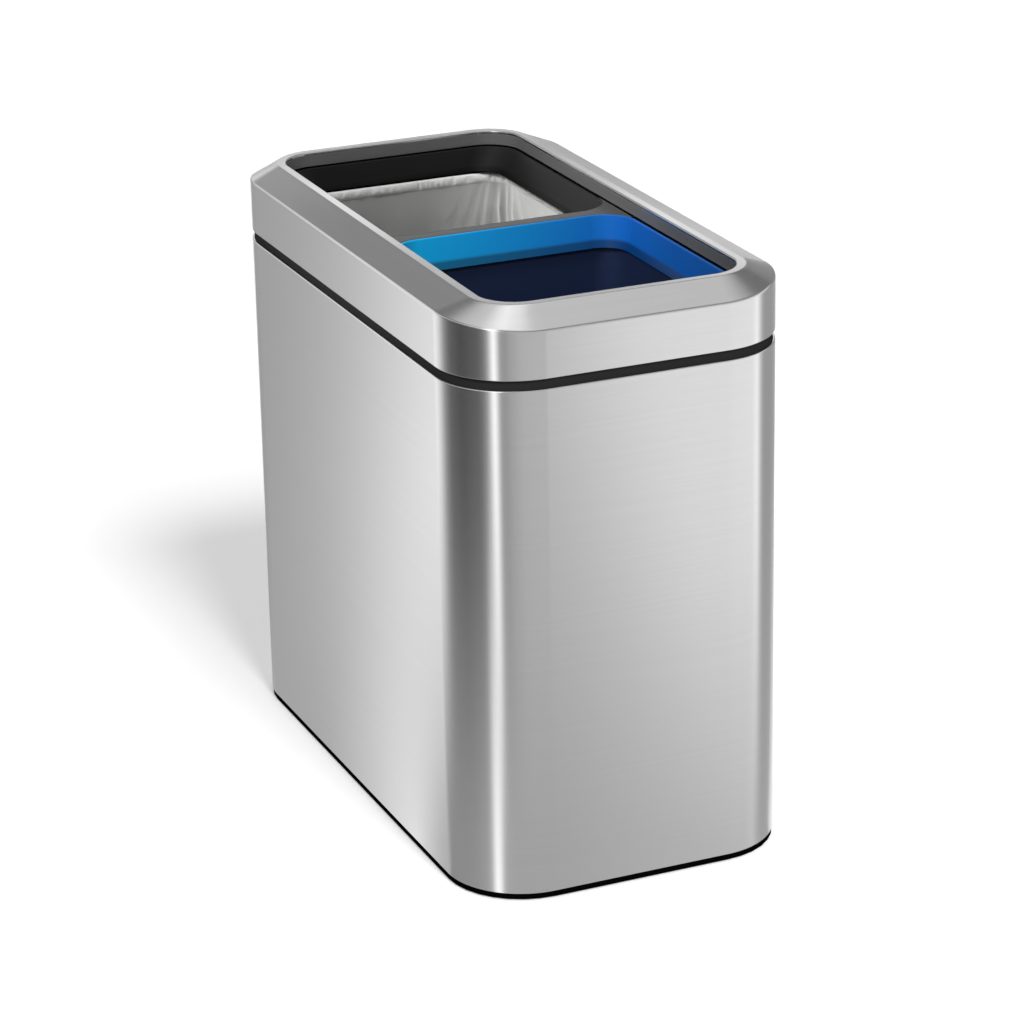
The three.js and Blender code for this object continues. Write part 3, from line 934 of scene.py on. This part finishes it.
def band_push(along, depth):
    """The puffy top edge, with small pleats across it."""
    share = depth / BAND_HEIGHT
    if share > 1:
        return 0.0
    pleat = 1 - 3 * abs(noise.noise(Vector((along / 0.0042, depth * 15, 5.0))))
    wide = noise.noise(Vector((along / 0.020, depth * 10, 9.0)))
    crinkle = noise.noise(Vector((along / 0.0032, depth * 110, 2.0)))
    swell = math.sin(math.pi * min(1.0, share * 1.02)) ** 0.7
    return swell * (1.1 + 0.8 * pleat + 0.5 * wide + 1.0 * crinkle) * MM


def fold_push(along, depth):
    """All ridges together, growing from the band downwards."""
    grow = min(1.0, max(0.0, depth - BAND_HEIGHT * 0.8) / 0.020)
    fade = 1.0 - 0.5 * min(1.0, depth / 0.3)
    height = 0.0
    for start, lean, ridge, width, widening in folds:
        centre = start + lean * depth
        off = (along - centre + FILM_LOOP / 2) % FILM_LOOP - FILM_LOOP / 2
        spread = width + widening * depth
        if abs(off) < 3 * spread:
            height += ridge * math.exp(-(off / spread) ** 2)
    return height * grow * fade


def billow_push(place, depth):
    soft = noise.noise(place * 11 + Vector((4, 0, 2))) + 0.5 * noise.noise(place * 34)
    return max(0.0, min(1.0, depth / 0.03) * (1.4 + 2.4 * soft)) * MM


# %% The film's loops
BAG_GAP = 0.35 * MM
BAG_CUFF = 7 * MM
BAND_ROLL = [(0.0, -1.6), (0.5, -0.7), (1.2, -0.2), (1.9, 0.0), (2.7, -0.1)]
bucket_floor = bucket_bottom + BUCKET_WALL


def film_levels():
    """Depths under the rim: close together where the film shows, wider further down."""
    film_top = bucket_top + BAND_RISE
    total = film_top - bucket_floor - BAG_GAP
    depths = [0.5 * MM * k for k in range(1, 20)]
    depths += [(10 + 1.6 * k) * MM for k in range(0, 45)]
    while depths[-1] < total - 9 * MM:
        depths.append(depths[-1] + 9 * MM)
    return film_top, [*depths, total]


def bag_loops():
    film_top, depths = film_levels()
    lining = FUNNEL_INSET + BAG_GAP
    cuff = inset(landfill_outline, RIM_OUTSET - BAG_GAP)
    loops = [[p for p, *_ in even_walk(cuff, bucket_top - BAG_CUFF)]]
    for across, rise in BAND_ROLL:
        edge = inset(cuff, across * MM)
        loops.append([p for p, *_ in even_walk(edge, film_top + rise * MM)])
    for depth in depths:
        below_flange = max(0.0, depth - 10 * MM) / depths[-1]
        wall = inset(landfill_outline, lining + BUCKET_DRAFT * below_flange)
        ring = []
        for place, out, along, total in even_walk(wall, film_top - depth):
            along *= FILM_LOOP / total
            push = band_push(along, depth) + fold_push(along, depth) + billow_push(place, depth)
            ring.append(place - out * push)
        loops.append(ring)
    return loops


# %% [markdown]
# The bag's bottom lies on the bucket's floor in loose creases. More loops close in towards
# the middle there, each lifted a little.

# %% The bag
def bag_mesh():
    loops = bag_loops()
    foot = loops[-1]
    centre = Vector((0, landfill_outline[3], foot[0].z))
    for share in (0.92, 0.82, 0.70, 0.56, 0.40, 0.22):
        ring = []
        for point in foot:
            place = centre.lerp(point, share)
            crease = abs(noise.noise(place * 60)) + 0.5 * abs(noise.noise(place * 140))
            ring.append(place + Vector((0, 0, 6 * MM * crease)))
        loops.append(ring)
    count = len(foot)
    points = [p for ring in loops for p in ring]
    faces = []
    for level in range(len(loops) - 1):
        for i in range(count):
            j = (i + 1) % count
            low, high = level * count, (level + 1) * count
            faces.append((low + j, low + i, high + i, high + j))
    last = (len(loops) - 1) * count
    points.append(centre + Vector((0, 0, 2 * MM)))
    faces += [(last + (i + 1) % count, last + i, len(points) - 1) for i in range(count)]
    return points, faces


bag = build("bag_film", bag_mesh(), "landfill_unit", white_film, "landfill_bag")

# %% [markdown]
# ## What the steel mirrors
# Brushed steel has almost no look of its own: it shows what stands round it. Photographers
# put white cards and dark flags beside it, so that a rounded corner reads as bright and
# dark bands. Here the same is done with light alone. The floor and the world have a plain
# look for the camera, and another one for reflections. Angles go round the near corner,
# from 0 at the front through 90 at the left, and each list gives a brightness by angle:
# one for the floor close by, and one for the room further off. A white card stands at
# about 50 degrees and makes the bright line, and a dark flag fills 60 to 130.

# %% Brightness by angle
NEAR_LOOK = [
    (-180, 1.20), (-145, 1.10), (-130, 0.56), (-105, 0.57), (-92, 0.66), (-80, 0.86),
    (-66, 0.78), (-33, 0.77), (-23, 0.60), (46, 0.60),
    (50, 0.80), (55, 1.50), (60, 1.70), (64, 1.20), (68, 0.70), (76, 0.54), (95, 0.46),
    (150, 0.42), (157, 0.50), (158, 1.00), (159, 1.20), (162, 0.82), (165, 0.58), (175, 0.48),
]
FAR_LOOK = [
    (-180, 1.00), (-165, 0.90), (-150, 0.56), (-136, 0.46), (-102, 0.48), (-95, 0.80),
    (-87, 1.65), (-78, 1.28), (-34, 1.32), (-28, 1.00), (-23, 0.76), (-10, 0.77),
    (12, 0.73), (22, 0.63), (27, 0.59), (34, 0.46), (41, 0.46), (45, 1.10),
    (49, 1.95), (53, 1.30), (57, 0.52), (62, 0.24), (72, 0.12), (98, 0.08), (118, 0.16),
    (129, 0.38), (139, 0.90), (147, 1.28), (158, 1.44), (164, 0.70), (168, 0.55), (173, 0.46),
]
BRIGHTEST = 2.5


def ramp(tree, value, stops):
    """A brightness by a share from 0 to 1; Blender's ramp holds 32 stops."""
    made = tree.nodes.new("ShaderNodeValToRGB")
    made.color_ramp.interpolation = "LINEAR"
    elements = made.color_ramp.elements
    while len(elements) < len(stops):
        elements.new(0.5)
    for element, (place, level) in zip(elements, sorted(stops)):
        element.position = place
        element.color = (*(level / BRIGHTEST,) * 3, 1)
    tree.links.new(value, made.inputs["Fac"])
    return times(tree, made.outputs["Color"], BRIGHTEST)


def by_ray(tree, is_ray, other, own):
    """A look of its own for one kind of ray, and another for all the rest."""
    choose = tree.nodes.new("ShaderNodeMixShader")
    tree.links.new(is_ray, choose.inputs["Fac"])
    tree.links.new(other.outputs[0], choose.inputs[1])
    tree.links.new(own.outputs[0], choose.inputs[2])
    return choose


def angle_of(tree, x, y):
    """Degrees from the front, through 90 at the left, of a place or direction."""
    turned = maths(tree, "ARCTAN2", times(tree, x, -1.0), times(tree, y, -1.0))
    return times(tree, turned, 180 / math.pi)


def by_angle(tree, angle, stops):
    share = plus(tree, over(tree, angle, 360.0), 0.5)
    return ramp(tree, share, [((place + 180) / 360, level) for place, level in stops])


def mixed(tree, factor, first, second):
    """first where the factor is 0, second where it is 1."""
    made = tree.nodes.new("ShaderNodeMix")
    made.data_type = "FLOAT"
    made.clamp_factor = True
    made.inputs[3].default_value = second if isinstance(second, float) else 0.0
    tree.links.new(factor, made.inputs[0])
    tree.links.new(first, made.inputs[2])
    if not isinstance(second, float):
        tree.links.new(second, made.inputs[3])
    return made.outputs[0]


# %% [markdown]
# Close to the bin a place on the floor and the steel that mirrors it are not at the same
# angle, so plain angles would bend the bands at the foot. The next functions unbend them.
# They work out which way a mirrored ray was heading when it reached this place, for someone
# who looks from 23 degrees. A flat wall mirrors parallel rays, so past a corner the
# distance across them counts instead, up to the next corner, where the rays fan out again.

# %% Unbent angles
LOOK_FROM = 22.95
CARD_ACROSS = 80.0
COS, SIN = math.cos(math.radians(LOOK_FROM)), math.sin(math.radians(LOOK_FROM))


def distance(tree, x, y):
    squares = plus(tree, times(tree, x, x), times(tree, y, y))
    return maths(tree, "SQRT", squares)


def heading(tree, x, y):
    """The way a ray goes that a round corner at the origin mirrored to this place."""
    angle = angle_of(tree, x, y)
    grown = over(tree, CORNER_RADIUS, distance(tree, x, y))
    grown = maths(tree, "MAXIMUM", minus(tree, 1.0, grown), 0.0)
    top = times(tree, plus(tree, angle, times(tree, grown, LOOK_FROM)), 2.0)
    return minus(tree, over(tree, top, plus(tree, grown, 1.0)), LOOK_FROM)


def across_look(tree, x, y):
    """How far to the right a place is, as seen by whoever looks from 23 degrees."""
    return plus(tree, times(tree, x, COS), times(tree, y, SIN))


def unbent_angle(tree, x, y):
    """Angle round the bin of what is mirrored here, with x and y from the near corner."""
    between = 2 * (body_outline[0] - CORNER_RADIUS)
    near = clamped(tree, heading(tree, x, y), -LOOK_FROM, 180 - LOOK_FROM)
    right = heading(tree, minus(tree, x, between), y)
    right = maths(tree, "MINIMUM", plus(tree, right, LOOK_FROM), 0.0)
    across = across_look(tree, x, y)
    past_left = maths(tree, "MAXIMUM", plus(tree, across, CORNER_RADIUS * COS), 0.0)
    past_front = clamped(tree, plus(tree, across, CORNER_RADIUS * SIN), 0.0, between * COS)
    front = minus(tree, right, times(tree, past_front, CARD_ACROSS))
    is_left = maths(tree, "GREATER_THAN", angle_of(tree, x, y), 90 - LOOK_FROM)
    past = mixed(tree, is_left, front, times(tree, past_left, CARD_ACROSS))
    return plus(tree, near, past)


# %% Floor
FLOOR_SIZE = 14.0
FLOOR_WHITE = 0.86
FLOOR_GLOW = 0.39
NEAR_END, FAR_START = 0.16, 0.96
CARD_START, CARD_FADE, CARD_SIDE_FADE = 0.86, 0.08, 0.11
CARD_LOOK, CARD_SHARE = 1.22, 0.6
near_corner = (-(body_outline[0] - CORNER_RADIUS), -(body_outline[1] - CORNER_RADIUS))


def make_floor_finish():
    material, tree, shader = new_finish("pale_floor", (FLOOR_WHITE,) * 3, 0.9)
    shader.inputs["Specular IOR Level"].default_value = 0.0
    shader.inputs["Emission Color"].default_value = (1, 1, 1, 1)
    path = tree.nodes.new("ShaderNodeLightPath")
    glow = times(tree, path.outputs["Is Camera Ray"], FLOOR_GLOW)
    tree.links.new(glow, shader.inputs["Emission Strength"])
    x, y, _ = place_xyz(tree)
    x = minus(tree, x, near_corner[0])
    y = minus(tree, y, near_corner[1])
    share = over(tree, minus(tree, distance(tree, x, y), NEAR_END), FAR_START - NEAR_END)
    angle = unbent_angle(tree, x, y)
    look = mixed(tree, share, by_angle(tree, angle, NEAR_LOOK), by_angle(tree, angle, FAR_LOOK))
    ahead = minus(tree, times(tree, y, -1.0), CARD_START)
    ahead = clamped(tree, over(tree, ahead, CARD_FADE))
    aside = plus(tree, across_look(tree, x, y), CORNER_RADIUS * SIN)
    aside = clamped(tree, over(tree, aside, CARD_SIDE_FADE))
    card = times(tree, times(tree, ahead, aside), CARD_SHARE)
    look = mixed(tree, card, look, CARD_LOOK)
    mirror = tree.nodes.new("ShaderNodeEmission")
    tree.links.new(look, mirror.inputs["Strength"])
    choose = by_ray(tree, path.outputs["Is Glossy Ray"], shader, mirror)
    tree.links.new(choose.outputs[0], tree.nodes["Material Output"].inputs["Surface"])
    return material


half = FLOOR_SIZE / 2
floor = new_object(
    "floor", [(-half, -half, 0), (half, -half, 0), (half, half, 0), (-half, half, 0)],
    [(0, 1, 2, 3)], make_floor_finish())
print("floor:", FLOOR_SIZE, "m square")

# %% [markdown]
# ## The world
# Flat tops and bevels mirror what is above. A bright belt low over the horizon gives the
# hem its white line, a darker one above it shades the long bevel, and the top is bright
# again. A tall narrow strip at the near corner's left makes the glint on rolled edges.

# %% World
UPWARD_LOOK = [(0, 0.45), (23, 0.42), (30, 0.28), (44, 0.34), (52, 0.84), (60, 1.06),
               (72, 1.18), (80, 1.8), (90, 2.0)]
BELT_LOOK = [(0, 0), (8, 0.15), (12, 1.05), (18, 1.05), (23, 0), (90, 0)]
BELT_AROUND = [(-180, 1), (-150, 1), (-144, 0), (-108, 0), (-100, 1), (180, 1)]
STRIP_LOOK = [(-180, 0), (36, 0), (44, 2.2), (54, 2.2), (64, 0.5), (84, 0.3), (100, 0), (180, 0)]
WORLD_SOFT = 0.30
HORIZON_BLEND = 12
STRIP_FADE = 1.25


def make_world():
    world = bpy.data.worlds.new("studio")
    world.use_nodes = True
    tree = world.node_tree
    tree.nodes.clear()
    direction = tree.nodes.new("ShaderNodeTexCoord")
    split = tree.nodes.new("ShaderNodeSeparateXYZ")
    tree.links.new(direction.outputs["Generated"], split.inputs["Vector"])
    x, y = split.outputs["X"], split.outputs["Y"]
    angle = angle_of(tree, x, y)
    around = by_angle(tree, angle, FAR_LOOK)
    strip = by_angle(tree, angle, STRIP_LOOK)
    height = over(tree, maths(tree, "ARCSINE", split.outputs["Z"]), math.pi / 2)
    upward = ramp(tree, height, [(e / 90, level) for e, level in UPWARD_LOOK])
    belt = times(tree, ramp(tree, height, [(e / 90, level) for e, level in BELT_LOOK]),
                 by_angle(tree, angle, BELT_AROUND))
    upward = plus(tree, upward, belt)
    over_horizon = times(tree, height, 90 / HORIZON_BLEND)
    fade = minus(tree, STRIP_FADE, times(tree, height, STRIP_FADE))
    above = plus(tree, upward, times(tree, strip, fade))
    level = mixed(tree, over_horizon, around, above)
    path = tree.nodes.new("ShaderNodeLightPath")
    seen, soft, mirrored = (tree.nodes.new("ShaderNodeBackground") for _ in range(3))
    seen.inputs["Color"].default_value = soft.inputs["Color"].default_value = (1, 1, 1, 1)
    soft.inputs["Strength"].default_value = WORLD_SOFT
    tree.links.new(level, mirrored.inputs["Strength"])
    lit = by_ray(tree, path.outputs["Is Glossy Ray"], soft, mirrored)
    final = by_ray(tree, path.outputs["Is Camera Ray"], lit, seen)
    output = tree.nodes.new("ShaderNodeOutputWorld")
    tree.links.new(final.outputs[0], output.inputs["Surface"])
    bpy.context.scene.world = world


make_world()

# %% [markdown]
# ## Lamps
# The front lamp is the key: a sun, so that it lights the whole floor evenly, and wide, so
# that the bin's shadow behind it is soft. A narrow spot at the upper left reaches into the
# openings and lights their right walls. A flag, a card that only casts a shadow, keeps the
# front lamp out of the bag's opening. None of them shows in the steel.

# %% Lamps
def place_lamp(name, data, around, height, away, target):
    """A lamp at this angle round the bin and this height, in degrees, aimed at a place."""
    lamp = bpy.data.objects.new(name, data)
    turn, lift = math.radians(around), math.radians(height)
    towards = Vector((-math.sin(turn) * math.cos(lift), -math.cos(turn) * math.cos(lift),
                      math.sin(lift)))
    lamp.rotation_euler = towards.to_track_quat("Z", "Y").to_euler()
    lamp.location = target + towards * away
    lamp.visible_glossy = False
    bpy.context.scene.collection.objects.link(lamp)
    return towards


front_data = bpy.data.lights.new("front_lamp", "SUN")
front_data.angle = math.radians(15)
front_data.energy = 2.1
to_front = place_lamp("front_lamp", front_data, 0, 47, 3.0, Vector())

spot_data = bpy.data.lights.new("left_spot", "SPOT")
spot_data.energy = 90
spot_data.spot_size = math.radians(20)
spot_data.spot_blend = 0.3
spot_data.shadow_soft_size = 0.18
place_lamp("left_spot", spot_data, 74, 44, 1.3, Vector((0.03, 0.04, 0.40)))


# %% Flag
FLAG_AWAY = 0.30
FLAG_HALF_WIDTH = 0.077
FLAG_HALF_HEIGHT = 0.064

flag_centre = Vector((-0.007, 0.12, rim_top)) + to_front * FLAG_AWAY
flag_across = Vector((FLAG_HALF_WIDTH, 0, 0))
flag_up = Vector((0, to_front.z, -to_front.y)) * FLAG_HALF_HEIGHT
flag = new_object(
    "bag_flag",
    [flag_centre - flag_across - flag_up, flag_centre + flag_across - flag_up,
     flag_centre + flag_across + flag_up, flag_centre - flag_across + flag_up],
    [(0, 1, 2, 3)], base_plastic)
flag.visible_camera = flag.visible_glossy = flag.visible_diffuse = False
flag.visible_transmission = False
bpy.context.scene.view_settings.view_transform = "Standard"
